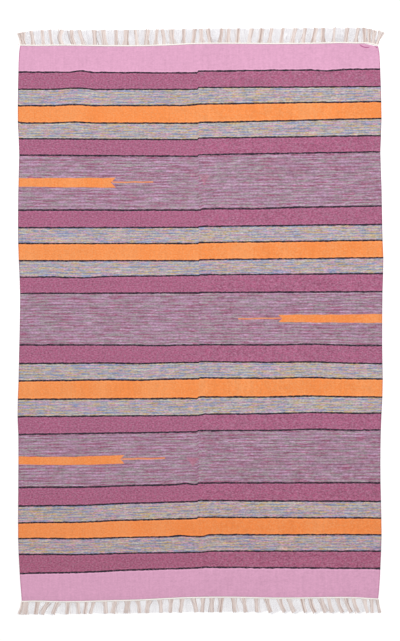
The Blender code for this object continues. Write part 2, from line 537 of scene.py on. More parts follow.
class Wire:
    """A number on its way through a node tree. Arithmetic on it adds Math nodes."""

    def __init__(self, board, socket):
        self.board = board
        self.socket = socket

    def __add__(self, other):
        return self.board.math("ADD", self, other)

    def __sub__(self, other):
        return self.board.math("SUBTRACT", self, other)

    def __rsub__(self, other):
        return self.board.math("SUBTRACT", other, self)

    def __mul__(self, other):
        return self.board.math("MULTIPLY", self, other)

    def __truediv__(self, other):
        return self.board.math("DIVIDE", self, other)

    __radd__ = __add__
    __rmul__ = __mul__


class Board:
    """A node tree being wired up."""

    def __init__(self, tree):
        self.tree = tree

    def add(self, kind, inputs=None, **options):
        """A new node with its options set and its inputs, by name or number, set or joined."""
        node = self.tree.nodes.new(kind)
        for name, value in options.items():
            setattr(node, name, value)
        for name, value in (inputs or {}).items():
            if isinstance(name, int):
                socket = node.inputs[name]
            else:
                socket = next(s for s in node.inputs if s.name == name and s.enabled)
            self.feed(socket, value)
        return node

    def feed(self, socket, value):
        if isinstance(value, Wire):
            value = value.socket
        if isinstance(value, bpy.types.NodeSocket):
            self.tree.links.new(value, socket)
        else:
            socket.default_value = value

    def out(self, node, name=None):
        """A node's output by name, or its first one in use, as a number to reckon with."""
        outputs = [s for s in node.outputs if s.enabled and name in (None, s.name)]
        return Wire(self, outputs[0])

    def math(self, operation, *values):
        node = self.add("ShaderNodeMath", operation=operation)
        for socket, value in zip(node.inputs, values, strict=False):
            self.feed(socket, value)
        return self.out(node)

    def ramp_up(self, value, low, high):
        """0 below low, 1 above high and a smooth rise between them."""
        node = self.add(
            "ShaderNodeMapRange",
            {"Value": value, "From Min": low, "From Max": high},
            interpolation_type="SMOOTHSTEP",
        )
        return self.out(node)


def group_sockets(tree, in_out, sockets):
    """Adds named sockets to a tree: a list of name, type and, for inputs, default value."""
    for name, kind, *default in sockets:
        socket = tree.interface.new_socket(name=name, in_out=in_out, socket_type="NodeSocket" + kind)
        if default:
            socket.default_value = default[0]


def shader_group(name, inputs, outputs):
    """A new shader node group, as its board, its input wires by name and its output node."""
    tree = bpy.data.node_groups.new(name, "ShaderNodeTree")
    group_sockets(tree, "INPUT", inputs)
    group_sockets(tree, "OUTPUT", outputs)
    board = Board(tree)
    start = board.add("NodeGroupInput")
    return board, {s.name: Wire(board, s) for s in start.outputs if s.name}, board.add("NodeGroupOutput")


def place_group(board, name, inputs):
    """The outputs, by name, of one use of a shader node group."""
    node = board.add("ShaderNodeGroup", node_tree=bpy.data.node_groups[name])
    for socket, value in inputs.items():
        board.feed(node.inputs[socket], value)
    return {s.name: Wire(board, s) for s in node.outputs}


def blend_colour(board, share, below, above, mode="MIX"):
    node = board.add(
        "ShaderNodeMix",
        {"Factor": share, "A": below, "B": above},
        data_type="RGBA",
        blend_type=mode,
    )
    return next(s for s in node.outputs if s.enabled)


def new_material(name, roughness, sheen):
    """A cotton material, as itself, its board and its Principled BSDF."""
    material = bpy.data.materials.new(name)
    material.use_nodes = True
    board = Board(material.node_tree)
    shader = material.node_tree.nodes["Principled BSDF"]
    shader.inputs["Roughness"].default_value = roughness
    shader.inputs["Specular IOR Level"].default_value = 0.25
    shader.inputs["Sheen Weight"].default_value = sheen
    shader.inputs["Sheen Roughness"].default_value = 0.6
    return material, board, shader


# ---------------------------------------------------------------- finishes


def marl_group():
    """Marled weft: rows of two yarns in uneven turns, each running between two shades along its
    length, and here and there a long pale pick."""
    board, given, end = shader_group(
        "marled_weft",
        [
            ("Across", "Float", 0.0),
            ("Rows", "Float", 0.0),
            ("Half", "Float", 0.0),
            ("First A", "Color", (0.5, 0.5, 0.5, 1)),
            ("First B", "Color", (0.5, 0.5, 0.5, 1)),
            ("Second A", "Color", (0.5, 0.5, 0.5, 1)),
            ("Second B", "Color", (0.5, 0.5, 0.5, 1)),
            ("Streak", "Float", 0.03),
            ("Contrast", "Float", 1.0),
            ("Seed", "Float", 0.0),
        ],
        [("Color", "Color"), ("Height", "Float")],
    )

    def streaks(rows, length, seed):
        place = board.add(
            "ShaderNodeCombineXYZ",
            {"X": given["Across"] / length, "Y": rows * 3.17, "Z": given["Half"] * 5.1 + seed},
        )
        texture = board.add(
            "ShaderNodeTexNoise", {"Vector": board.out(place), "Scale": 1.0, "Detail": 3.0, "Roughness": 0.65}
        )
        channels = board.add("ShaderNodeSeparateColor", {"Color": texture.outputs["Color"]})
        return [board.out(channels, name) for name in ("Red", "Green", "Blue")]

    row = board.math("FLOOR", given["Rows"])
    first_share, second_share, light = streaks(row, given["Streak"], given["Seed"])
    taken = streaks(row, given["Streak"] * 2.0, given["Seed"] + 9.3)[0]
    lean = streaks(given["Rows"] * 0.07, given["Streak"] * 3.0, given["Seed"] + 5.7)[0]
    turn = board.math("FLOORED_MODULO", row, 3.0) * 0.4 + (taken - 0.5) * 3.6 + (lean - 0.5) * 0.6 + 0.1
    first = blend_colour(
        board, board.ramp_up(first_share, 0.46, 0.60), given["First A"].socket, given["First B"].socket
    )
    second = blend_colour(
        board, board.ramp_up(second_share, 0.44, 0.58), given["Second A"].socket, given["Second B"].socket
    )
    colour = blend_colour(board, board.ramp_up(turn, 0.2, 0.8), first, second)
    pale_pick_and_highlight = streaks(row, given["Streak"] * 6.0, given["Seed"] + 3.1)[2]
    shade = (light - 0.5) * given["Contrast"] + board.ramp_up(pale_pick_and_highlight, 0.63, 0.69) * 0.18 + 1.0
    colour = blend_colour(board, 1.0, colour, shade.socket, "MULTIPLY")
    board.feed(end.inputs["Color"], colour)
    board.feed(end.inputs["Height"], first_share)


def arrow_group():
    """Where a woven arrow shows: its bar, forked at the end, and the thin shaft beyond it."""
    board, given, end = shader_group(
        "woven_arrow",
        [
            ("Across", "Float", 0.0),  # towards the edge that the bar starts from
            ("Along", "Float", 0.0),
            ("Middle", "Float", 0.0),
            ("Middle Slope", "Float", 0.0),
            ("Bow", "Float", 0.0),
            ("Half Width", "Float", 0.014),
            ("Half Slope", "Float", 0.0),
            ("Tip", "Float", 0.28),
            ("Notch", "Float", 0.296),
            ("Shaft End", "Float", 0.156),
            ("Shaft", "Float", 0.0),
            ("Shaft Slope", "Float", 0.0),
            ("Shaft Half", "Float", 0.0026),
        ],
        [("Mask", "Float")],
    )
    along_bar = (given["Across"] - given["Tip"]) / (HALF_WIDTH * MM - given["Tip"])
    bowed = given["Bow"] * along_bar * (1.0 - along_bar) * 4.0
    middle = given["Middle"] + given["Across"] * given["Middle Slope"] + bowed
    half = given["Half Width"] + given["Across"] * given["Half Slope"]
    off_middle = board.math("ABSOLUTE", given["Along"] - middle)
    fork = given["Notch"] + (given["Tip"] - given["Notch"]) * (off_middle / half)
    bar = board.math("LESS_THAN", off_middle, half)
    bar = bar * board.math("GREATER_THAN", given["Across"], fork)
    shaft_line = given["Shaft"] + given["Across"] * given["Shaft Slope"]
    shaft = board.math("LESS_THAN", board.math("ABSOLUTE", given["Along"] - shaft_line), given["Shaft Half"])
    shaft = shaft * board.math("GREATER_THAN", given["Across"], given["Shaft End"])
    shaft = shaft * board.math("LESS_THAN", given["Across"], given["Notch"] - 0.004) * 0.8
    board.feed(end.inputs["Mask"], board.math("MAXIMUM", bar, shaft))


def line_through(near_middle, near_value, far_out, far_value):
    """The value at the middle of the rug and the slope of a straight line through two places
    across, all in metres, from millimetres."""
    slope = (far_value - near_value) / (far_out - near_middle)
    return (near_value - slope * near_middle) * MM, slope


def crease_shade_group():
    """Where the painted shade of a short crease shows, strongest at its middle."""
    board, given, end = shader_group(
        "short_crease",
        [
            ("Across", "Float", 0.0),  # from its middle, along it
            ("Along", "Float", 0.0),  # from its middle, over it
            ("Reach", "Float", 0.018),
            ("Sag", "Float", 0.006),
            ("Half Width", "Float", 0.002),
        ],
        [("Mask", "Float")],
    )
    share = given["Across"] / given["Reach"]
    off_line = board.math("ABSOLUTE", given["Along"] - share * share * given["Sag"])
    mask = board.ramp_up(1.0 - off_line / given["Half Width"], 0.0, 1.0)
    mask = mask * board.ramp_up(1.0 - board.math("ABSOLUTE", share), 0.0, 0.4)
    board.feed(end.inputs["Mask"], mask)


def spun_group():
    """Spun yarn seen along its length: tones from pale to dark by strand, with uneven spinning."""
    board, given, end = shader_group(
        "spun_yarn",
        [
            ("Map", "Vector"),  # X along the strand, Y its tone
            ("Pale", "Color", (0.8, 0.8, 0.8, 1)),
            ("Middle", "Color", (0.6, 0.6, 0.6, 1)),
            ("Dark", "Color", (0.4, 0.4, 0.4, 1)),
            ("Hair", "Color", (0.6, 0.6, 0.6, 1)),
            ("Slubs", "Float", 40.0),
        ],
        [("Color", "Color"), ("Height", "Float")],
    )
    at = board.add("ShaderNodeSeparateXYZ", {"Vector": given["Map"]})
    along, tone = board.out(at, "X"), board.out(at, "Y")
    place = board.add("ShaderNodeCombineXYZ", {"X": along * given["Slubs"], "Y": tone * 37.0})
    slubs = board.out(
        board.add("ShaderNodeTexNoise", {"Vector": board.out(place), "Scale": 1.0, "Detail": 2.0})
    )
    is_hair = board.math("GREATER_THAN", tone, 0.93)
    tone = tone + (slubs - 0.5) * 0.45
    colour = blend_colour(board, board.ramp_up(tone, 0.25, 0.6), given["Pale"].socket, given["Middle"].socket)
    colour = blend_colour(board, board.ramp_up(tone, 0.62, 0.95), colour, given["Dark"].socket)
    # The loose hairs take their own colour, partly painted shade between the hanks.
    colour = blend_colour(board, is_hair, colour, given["Hair"].socket)
    board.feed(end.inputs["Color"], colour)
    board.feed(end.inputs["Height"], slubs)


class Weave:
    """The panel's own map of the weave, as its finish reads it: metres across and along the rug,
    and the place in the stripe plan."""

    def __init__(self, board):
        self.board = board
        weave = board.add("ShaderNodeAttribute", attribute_type="GEOMETRY", attribute_name="weave")
        at = board.add("ShaderNodeSeparateXYZ", {"Vector": weave.outputs["Vector"]})
        self.across, self.along, self.band = (board.out(at, axis) for axis in "XYZ")
        self.half = board.math("GREATER_THAN", self.across, JOIN * MM)
        # Beaten weft never lies quite straight: a slow wander and the knobs of single warps.
        wander = self.uneven(30.0, 9.0) * 0.025 + self.uneven(80.0, 20.0, seed=2.0) * 0.045
        self.in_plan = self.band + wander
        self.in_repeat = board.math("FLOORED_MODULO", self.in_plan, float(REPEAT_BANDS))
        half_plan = LAST_THREAD_BAND / 2
        off_middle = board.math("ABSOLUTE", self.in_plan - half_plan)
        self.striped = board.math("LESS_THAN", off_middle, half_plan)
        self.pink_ends = board.math("GREATER_THAN", off_middle, half_plan)
        self.plum_bands = (self.between(-1.0, 1.0) + self.between(4.0, 5.0)) * self.striped
        self.melange_bands = self.between(1.0, 2.0) + self.between(3.0, 4.0)
        self.mauve_field = board.math("GREATER_THAN", self.in_repeat, 5.0)

    def uneven(self, x_scale, y_scale, detail=1.0, seed=0.0):
        """Noise about zero, roughly -0.5 to 0.5, at so many turns a metre each way."""
        place = self.board.add(
            "ShaderNodeCombineXYZ",
            {"X": self.across * x_scale, "Y": self.along * y_scale, "Z": self.half * 7.3 + seed},
        )
        texture = self.board.add(
            "ShaderNodeTexNoise", {"Vector": self.board.out(place), "Scale": 1.0, "Detail": detail}
        )
        return self.board.out(texture) - 0.5

    def between(self, low, high):
        """Where the repeat's bands from low to high lie."""
        above = self.board.math("GREATER_THAN", self.in_repeat, low)
        return above * self.board.math("LESS_THAN", self.in_repeat, high)


def marled(weave, settings, yarns, streak, contrast, seed):
    """Marled weft in four yarn colours, by their names in the settings."""
    wavering = weave.band + weave.uneven(6.0, 4.0, seed=4.0) * 0.08
    inputs = {
        "Across": weave.across,
        "Rows": wavering * (BAND_LENGTH / settings.weft_pitch),
        "Half": weave.half,
        "Streak": streak,
        "Contrast": contrast,
        "Seed": seed,
    }
    for socket, yarn in zip(("First A", "First B", "Second A", "Second B"), yarns, strict=True):
        inputs[socket] = getattr(settings, yarn)
    return place_group(weave.board, "marled_weft", inputs)


def inlaid_rows(weave, colour, rosy):
    """Adds the short rows of rosier yarn beside the join."""
    board = weave.board
    for inlay in INLAYS:
        rows_left = (weave.along - inlay.near * MM) / ((inlay.far - inlay.near) * MM)
        from_middle = board.math("ABSOLUTE", weave.across - inlay.across * MM) / (inlay.half_width * MM)
        inlaid = board.ramp_up(rows_left - from_middle, 0.0, 0.35)
        inlaid = inlaid * board.math("LESS_THAN", rows_left, 1.0)
        colour = blend_colour(board, inlaid * inlay.strength, colour, rosy)
    return colour


def off_arrows(weave):
    """1 where no arrow shows, and 0 on a bar."""
    along = weave.along + weave.uneven(26.0, 30.0, seed=6.0) * 0.004
    off = 1.0
    for arrow in ARROWS:
        tip_middle, tip_half = (arrow.tip_far + arrow.tip_near) / 2, (arrow.tip_far - arrow.tip_near) / 2
        edge_middle = (arrow.edge_far + arrow.edge_near) / 2
        edge_half = (arrow.edge_far - arrow.edge_near) / 2
        middle, middle_slope = line_through(arrow.tip, tip_middle, HALF_WIDTH, edge_middle)
        half_width, half_slope = line_through(arrow.tip, tip_half, HALF_WIDTH, edge_half)
        shaft, shaft_slope = line_through(
            arrow.shaft_end, arrow.shaft_at_end, arrow.notch, arrow.shaft_at_notch
        )
        inputs = {
            "Across": weave.across * float(arrow.side),
            "Along": along,
            "Middle": middle,
            "Middle Slope": middle_slope,
            "Bow": arrow.bow * MM,
            "Half Width": half_width,
            "Half Slope": half_slope,
            "Tip": arrow.tip * MM,
            "Notch": arrow.notch * MM,
            "Shaft End": arrow.shaft_end * MM,
            "Shaft": shaft,
            "Shaft Slope": shaft_slope,
            "Shaft Half": arrow.shaft_half * MM,
        }
        off = (1.0 - place_group(weave.board, "woven_arrow", inputs)["Mask"]) * off
    return off


def faint_marks(weave, colour, marled_bands, settings):
    """Adds painted shade of the ribs over single warps, mottling, and slubs of other fibre in the plum weft.
    """
    board, uneven, plum = weave.board, weave.uneven, weave.plum_bands
    # Painted shade: the ribs over single warps, drawn as faint streaks in the colour.
    painted_rib_shade = uneven(150.0, 16.0, seed=8.0) * 0.16 + uneven(60.0, 110.0, 2.0, seed=9.0) * 0.18
    mottle = uneven(7.0, 60.0, 2.0, seed=10.0) * (plum * 0.26 + 0.05)
    patches = uneven(5.0, 6.0, seed=18.0) * 0.06
    speckle = uneven(150.0, 240.0, 2.0, seed=11.0) * (plum * 1.25 + marled_bands * 0.9 + 0.3)
    shade = painted_rib_shade + mottle + patches + speckle + 1.0
    colour = blend_colour(board, 1.0, colour, shade.socket, "MULTIPLY")
    greyed = board.ramp_up(uneven(110.0, 230.0, 2.0, seed=13.0), -0.02, 0.14) * plum * 0.45
    colour = blend_colour(board, greyed, colour, settings.plum_grey)
    lint = uneven(170.0, 250.0, 2.0, seed=12.0)
    lint = board.ramp_up(lint, -0.12, 0.28) * 0.45 + board.ramp_up(lint, 0.2, 0.28) * 0.35
    return blend_colour(board, lint * plum, colour, settings.lint)


def dark_threads(weave, colour, dark):
    """Adds the dark threads, of uneven thickness, and a painted highlight on the rows of weft beside each."""
    board, uneven = weave.board, weave.uneven
    nearest = board.math("ROUND", weave.in_plan)
    from_thread = board.math("ABSOLUTE", weave.in_plan - nearest) * BAND_LENGTH
    in_turn = board.math("FLOORED_MODULO", nearest, float(REPEAT_BANDS))
    is_thread = board.math("LESS_THAN", in_turn, REPEAT_THREADS - 0.5)
    # Painted highlight: the weft beside each dark thread is made paler.
    pale_pick_and_highlight = (board.ramp_up(from_thread, 2.8, 3.6) - board.ramp_up(from_thread, 5.0, 8.0)) * is_thread
    colour = blend_colour(board, 1.0, colour, (pale_pick_and_highlight * 0.13 + 1.0).socket, "MULTIPLY")
    thickness = uneven(55.0, 30.0, seed=14.0) * 3.0 + uneven(130.0, 30.0, seed=19.0) * 1.2 + 2.9
    shown = board.ramp_up(thickness - from_thread, -0.3, 0.5) * is_thread
    shown = shown * (uneven(150.0, 60.0, seed=15.0) * 0.9 + 0.97)
    return blend_colour(board, board.math("MINIMUM", shown, 1.0), colour, dark)


def paint_crease_shade(weave, colour, crease_shade_colour):
    """Paints shade into the creases of the puckered corner."""
    crease_shaded = 0.0
    for crease_shade in CREASES:
        turn = radians(crease_shade.turn)
        away_x, away_y = weave.across - crease_shade.across * MM, weave.along - crease_shade.along * MM
        inputs = {
            "Across": away_x * cos(turn) + away_y * sin(turn),
            "Along": away_y * cos(turn) - away_x * sin(turn),
            "Reach": crease_shade.reach * MM,
            "Sag": crease_shade.sag * MM,
            "Half Width": crease_shade.half_width * MM,
        }
        crease_shaded = place_group(weave.board, "short_crease", inputs)["Mask"] + crease_shaded
    return blend_colour(weave.board, crease_shaded * 0.95, colour, crease_shade_colour)


def striped_cotton(settings):
    """The panel's finish, on its own map of the weave: bands, dark threads, marled fields, arrows."""
    material, board, shader = new_material("striped_cotton", 0.92, 0.12)
    weave = Weave(board)
    melange_yarns = ("melange_pale", "melange_ochre", "melange_blue", "melange_rose")
    melange = marled(weave, settings, melange_yarns, streak=0.034, contrast=1.2, seed=1.0)
    mauve_yarns = ("mauve_plum", "mauve_crimson", "mauve_grey", "mauve_lilac")
    mauve = marled(weave, settings, mauve_yarns, streak=0.042, contrast=1.3, seed=31.0)

    paler = weave.uneven(200.0, 230.0, 2.0, seed=16.0) * 1.6 + weave.uneven(10.0, 4.0, seed=17.0) * 0.8
    orange = blend_colour(board, board.ramp_up(paler, -0.2, 0.22), settings.orange, settings.orange_pale)
    colour = blend_colour(board, weave.between(2.0, 3.0), settings.plum, orange)
    colour = blend_colour(board, weave.melange_bands, colour, melange["Color"].socket)
    colour = blend_colour(board, weave.mauve_field, colour, mauve["Color"].socket)
    colour = inlaid_rows(weave, colour, settings.rosy)
    plain = off_arrows(weave)
    colour = blend_colour(board, 1.0 - plain, colour, orange)
    colour = blend_colour(board, weave.pink_ends, colour, settings.pink)

    marled_bands = (weave.melange_bands + weave.mauve_field * plain) * weave.striped
    colour = faint_marks(weave, colour, marled_bands, settings)
    colour = dark_threads(weave, colour, settings.dark)
    # Painted shade in the creases of the puckered corner.
    colour = paint_crease_shade(weave, colour, settings.crease_shade)
    # Painted light: a slightly warmer cast on the cloth towards its near end, as the light falls there.
    warm_light_share = board.ramp_up(0.0 - weave.along, 0.48, 0.72) * weave.striped
    colour = blend_colour(board, warm_light_share, colour, settings.painted_warm_light, "MULTIPLY")
    cloth_map = board.add("ShaderNodeUVMap", uv_map="OFBake")
    width_share = board.out(board.add("ShaderNodeSeparateXYZ", {"Vector": cloth_map.outputs["UV"]}), "Y")
    at_edge = board.ramp_up(board.math("ABSOLUTE", width_share - 0.5), 0.4962, 0.4985)
    colour = blend_colour(board, at_edge * 0.5, colour, settings.selvedge, "MULTIPLY")
    board.feed(shader.inputs["Base Color"], colour)

    turns = weave.along * (2 * pi / (settings.weft_pitch * MM)) + weave.uneven(60.0, 60.0) * 6.0
    height = board.math("SINE", turns) * 0.5 + mauve["Height"]
    bump = board.add("ShaderNodeBump", {"Height": height, "Distance": 0.0004, "Strength": 0.5})
    board.feed(shader.inputs["Normal"], bump.outputs["Normal"])
    return material


def yarn_material(name, colours, slubs):
    """Spun cotton on a strand's own map."""
    material, board, shader = new_material(name, 0.9, 0.15)
    strand_map = board.add("ShaderNodeUVMap", uv_map="OFBake")
    spun = place_group(board, "spun_yarn", colours | {"Map": strand_map.outputs["UV"], "Slubs": slubs})
    board.feed(shader.inputs["Base Color"], spun["Color"])
    bump = board.add("ShaderNodeBump", {"Height": spun["Height"], "Distance": 0.0004, "Strength": 0.6})
    board.feed(shader.inputs["Normal"], bump.outputs["Normal"])
    return material


# ---------------------------------------------------------------- meshes by Geometry Nodes


def geometry_tree(name, sockets):
    """A new Geometry Nodes tree, as its board, its inputs by name and its output node."""
    tree = bpy.data.node_groups.new(name, "GeometryNodeTree")
    group_sockets(tree, "INPUT", [("Geometry", "Geometry"), *sockets])
    group_sockets(tree, "OUTPUT", [("Geometry", "Geometry")])
    board = Board(tree)
    start = board.add("NodeGroupInput")
    return board, {s.name: Wire(board, s) for s in start.outputs if s.name}, board.add("NodeGroupOutput")


def finish_tree(board, end, geometry, material):
    """The end of every tree: instances made real, and the piece's material set."""
    real = board.add("GeometryNodeRealizeInstances", {"Geometry": geometry})
    smooth = board.add("GeometryNodeSetShadeSmooth", {"Geometry": real.outputs[0], "Shade Smooth": True})
    done = board.add("GeometryNodeSetMaterial", {"Geometry": smooth.outputs[0], "Material": material})
    board.feed(end.inputs["Geometry"], done.outputs[0])


def run_tree(piece, tree, values):
    """Runs a tree on a piece with its inputs set, and keeps the result as the piece's plain mesh."""
    modifier = piece.modifiers.new(tree.name, "NODES")
    modifier.node_group = tree
    sockets = {item.name: item.identifier for item in tree.interface.items_tree if item.in_out == "INPUT"}
    for name, value in values.items():
        modifier[sockets[name]] = value
    graph = bpy.context.evaluated_depsgraph_get()
    mesh = bpy.data.meshes.new_from_object(piece.evaluated_get(graph))
    piece.modifiers.remove(modifier)
    piece.data = mesh
    mesh.name = piece.name


def new_piece(name, points, edges, faces):
    mesh = bpy.data.meshes.new(name)
    mesh.from_pydata(points, edges, faces)
    piece = bpy.data.objects.new(name, mesh)
    bpy.context.scene.collection.objects.link(piece)
    return piece


def named(board, name, data_type="FLOAT"):
    node = board.add("GeometryNodeInputNamedAttribute", {"Name": name}, data_type=data_type)
    return board.out(node, "Attribute")


def store(board, geometry, name, value, domain, data_type="FLOAT"):
    node = board.add(
        "GeometryNodeStoreNamedAttribute",
        {"Geometry": geometry, "Name": name, "Value": value},
        data_type=data_type,
        domain=domain,
    )
    return node.outputs[0]


def chance(board, low, high, seed):
    node = board.add("FunctionNodeRandomValue", {"Min": low, "Max": high, "Seed": seed}, data_type="FLOAT")
    return board.out(node)


def strands_to_mesh(board, curves, radius, sides):
    """Gives strands their thickness, and a map with X along each and Y its tone."""
    along = board.out(board.add("GeometryNodeSplineParameter"), "Factor")
    curves = store(board, curves, "strand_along", along, "POINT")
    circle = board.add("GeometryNodeCurvePrimitiveCircle", {"Resolution": sides, "Radius": 1.0})
    around = board.out(board.add("GeometryNodeSplineParameter"), "Factor")
    profile = store(board, circle.outputs["Curve"], "strand_around", around, "POINT")
    tube = board.add(
        "GeometryNodeCurveToMesh",
        {"Curve": curves, "Profile Curve": profile, "Scale": radius, "Fill Caps": True},
    )
    tone = named(board, "tone") * 0.95 + named(board, "strand_around") * 0.04 + 0.005
    place = board.add("ShaderNodeCombineXYZ", {"X": named(board, "strand_along") * 0.98 + 0.01, "Y": tone})
    return store(board, tube.outputs[0], "OFBake", board.out(place), "CORNER", "FLOAT2")


def side_and_up(board, side, up):
    """An offset so far to a curve's right, as seen from above, and so far up."""
    tangent = board.add("GeometryNodeInputTangent")
    right = board.add(
        "ShaderNodeVectorMath", {0: tangent.outputs[0], 1: (0.0, 0.0, 1.0)}, operation="CROSS_PRODUCT"
    )
    sideways = board.add("ShaderNodeVectorMath", {0: right.outputs[0], "Scale": side}, operation="SCALE")
    upward = board.add("ShaderNodeCombineXYZ", {"Z": up})
    total = board.add("ShaderNodeVectorMath", {0: sideways.outputs[0], 1: upward.outputs[0]}, operation="ADD")
    return total.outputs[0]


def rib_tree():
    """Presses a furrow between each warp and the next into both faces of a flat sheet."""
    board, given, end = geometry_tree(
        "warp_ribs", [("Pitch", "Float", 0.005), ("Depth", "Float", 0.0003), ("Material", "Material")]
    )
    weave = board.add("ShaderNodeSeparateXYZ", {"Vector": named(board, "weave", "FLOAT_VECTOR")})
    turn = board.out(weave, "X") / given["Pitch"] * pi
    furrow = 1.0 - board.math("ABSOLUTE", board.math("SINE", turn))
    normal = board.add("ShaderNodeSeparateXYZ", {"Vector": board.add("GeometryNodeInputNormal").outputs[0]})
    depth = furrow * given["Depth"] * board.out(normal, "Z") * named(board, "inner") * -1.0
    offset = board.add("ShaderNodeCombineXYZ", {"Z": depth})
    moved = board.add("GeometryNodeSetPosition", {"Geometry": given["Geometry"], "Offset": board.out(offset)})
    finish_tree(board, end, moved.outputs[0], given["Material"])
    return board.tree


def cord_tree():
    """Twines yarns round each other along a guide line."""
    board, given, end = geometry_tree(
        "twined_cord",
        [
            ("Yarns", "Int", 3),
            ("Turn", "Float", 0.0105),
            ("Spread", "Float", 0.0011),
            ("Rise", "Float", 0.0006),
            ("Radius", "Float", 0.0012),
            ("Seed", "Int", 1),
            ("Material", "Material"),
        ],
    )
    guide = board.add("GeometryNodeMeshToCurve", {"Mesh": given["Geometry"]})
    fine = board.add(
        "GeometryNodeResampleCurve",
        {"Curve": guide.outputs[0], "Length": given["Turn"] / 8.0},
        mode="LENGTH",
    )
    yarns = board.add(
        "GeometryNodeDuplicateElements",
        {"Geometry": fine.outputs[0], "Amount": given["Yarns"]},
        domain="SPLINE",
    )
    phase = board.out(yarns, "Duplicate Index") / given["Yarns"]
    curves = store(board, yarns.outputs["Geometry"], "phase", phase, "CURVE")
    curves = store(board, curves, "tone", chance(board, 0.1, 0.6, given["Seed"]), "CURVE")
    length = board.out(board.add("GeometryNodeSplineParameter"), "Length")
    turn = (length / given["Turn"] + named(board, "phase")) * (2 * pi)
    offset = side_and_up(
        board,
        board.math("COSINE", turn) * given["Spread"],
        board.math("SINE", turn) * given["Rise"],
    )
    moved = board.add("GeometryNodeSetPosition", {"Geometry": curves, "Offset": offset})
    strands = strands_to_mesh(board, moved.outputs[0], given["Radius"], 6)
    finish_tree(board, end, strands, given["Material"])
    return board.tree


def fringe_tree():
    """Spreads yarns about guide lines, one line to a hank, as wide as the guide's spread."""
    board, given, end = geometry_tree(
        "gathered_fringe",
        [
            ("Radius", "Float", 0.0009),
            ("Pile", "Float", 0.0016),
            ("Wave", "Float", 0.0005),
            ("Uneven Cut", "Float", 0.06),
            ("Straying", "Float", 1.2),
            ("Root Flare", "Float", 0.9),
            ("Seed", "Int", 1),
            ("Material", "Material"),
        ],
    )
    guide = board.add("GeometryNodeMeshToCurve", {"Mesh": given["Geometry"]})
    fine = board.add("GeometryNodeResampleCurve", {"Curve": guide.outputs[0], "Count": 9}, mode="COUNT")
    yarns = board.add(
        "GeometryNodeDuplicateElements",
        {"Geometry": fine.outputs[0], "Amount": named(board, "yarns", "INT")},
        domain="SPLINE",
    )
    curves = yarns.outputs["Geometry"]
    rank = (board.out(yarns, "Duplicate Index") + 0.5) / named(board, "yarns", "INT")
    jitter = chance(board, -0.1, 0.1, given["Seed"]) * named(board, "girth")
    curves = store(board, curves, "rank", rank * 2.0 - 1.0 + jitter, "CURVE")
    for name, step in (("shade", 1), ("level", 2), ("phase", 3), ("loss", 4), ("loose", 5), ("flared", 6)):
        curves = store(board, curves, name, chance(board, 0.0, 1.0, given["Seed"] + step), "CURVE")
    is_hair = board.math("LESS_THAN", named(board, "girth"), 0.9)
    tone = named(board, "shade") * 0.88 * (1.0 - is_hair) + is_hair
    curves = store(board, curves, "tone", tone, "CURVE")
    share = board.out(board.add("GeometryNodeSplineParameter"), "Factor")
    wave = board.math("SINE", (share * 1.3 + named(board, "phase")) * (2 * pi)) * given["Wave"] * share
    crown = 1.0 - board.math("ABSOLUTE", named(board, "rank"))
    rise = named(board, "level") * crown * given["Pile"]
    stray = board.ramp_up(named(board, "loose"), 0.88, 0.98) * share * given["Straying"]
    rootward = board.ramp_up(1.0 - share, 0.45, 1.0)
    flare = board.ramp_up(named(board, "flared"), 0.6, 0.9) * rootward * given["Root Flare"]
    spread = named(board, "rank") * named(board, "spread") * ((stray + flare) * (1.0 - is_hair) + 1.0)
    offset = side_and_up(board, spread + wave, rise)
    moved = board.add("GeometryNodeSetPosition", {"Geometry": curves, "Offset": offset})
    cut = board.add(
        "GeometryNodeTrimCurve",
        {"Curve": moved.outputs[0], "End": 1.0 - named(board, "loss") * given["Uneven Cut"]},
        mode="FACTOR",
    )
    strands = strands_to_mesh(board, cut.outputs[0], given["Radius"] * named(board, "girth"), 5)
    finish_tree(board, end, strands, given["Material"])
    return board.tree


# ---------------------------------------------------------------- guides and the panel's grid


def set_attribute(mesh, name, kind, values):
    field = {"FLOAT": "value", "INT": "value", "FLOAT_VECTOR": "vector"}[kind]
    layer = mesh.attributes.new(name, kind, "POINT")
    flat = [part for value in values for part in value] if kind == "FLOAT_VECTOR" else values
    layer.data.foreach_set(field, flat)


def grid_steps(low, high, pitch, edge_steps, round_off):
    """Places from low to high with the edge steps at both ends, each with its depth inside."""
    count = round((high - low - 2 * edge_steps[-1]) / pitch)
    inner = [mix(low + edge_steps[-1], high - edge_steps[-1], i / count) for i in range(1, count)]
    places = [low + step for step in edge_steps] + inner + [high - step for step in reversed(edge_steps)]
    return [(place, min(place - low, high - place, round_off)) for place in places]


def panel_rows():
    """The grid's rows as places in the stripe plan, each with its depth in from the end: one at
    every band, closer by the puckered far end, and closer still round the rims."""
    far_end, near_end = -END_BANDS, LAST_THREAD_BAND + END_BANDS
    fine = [6.0 + 5.5 * i for i in range(12)]
    rows = [(far_end + depth / BAND_LENGTH, depth) for depth in (*END_RIM, *fine)]
    rows += [(band, BAND_LENGTH) for band in range(LAST_THREAD_BAND + 1)]
    rows += [(near_end - depth / BAND_LENGTH, depth) for depth in (45.0, 20.0, *reversed(END_RIM))]
    return rows


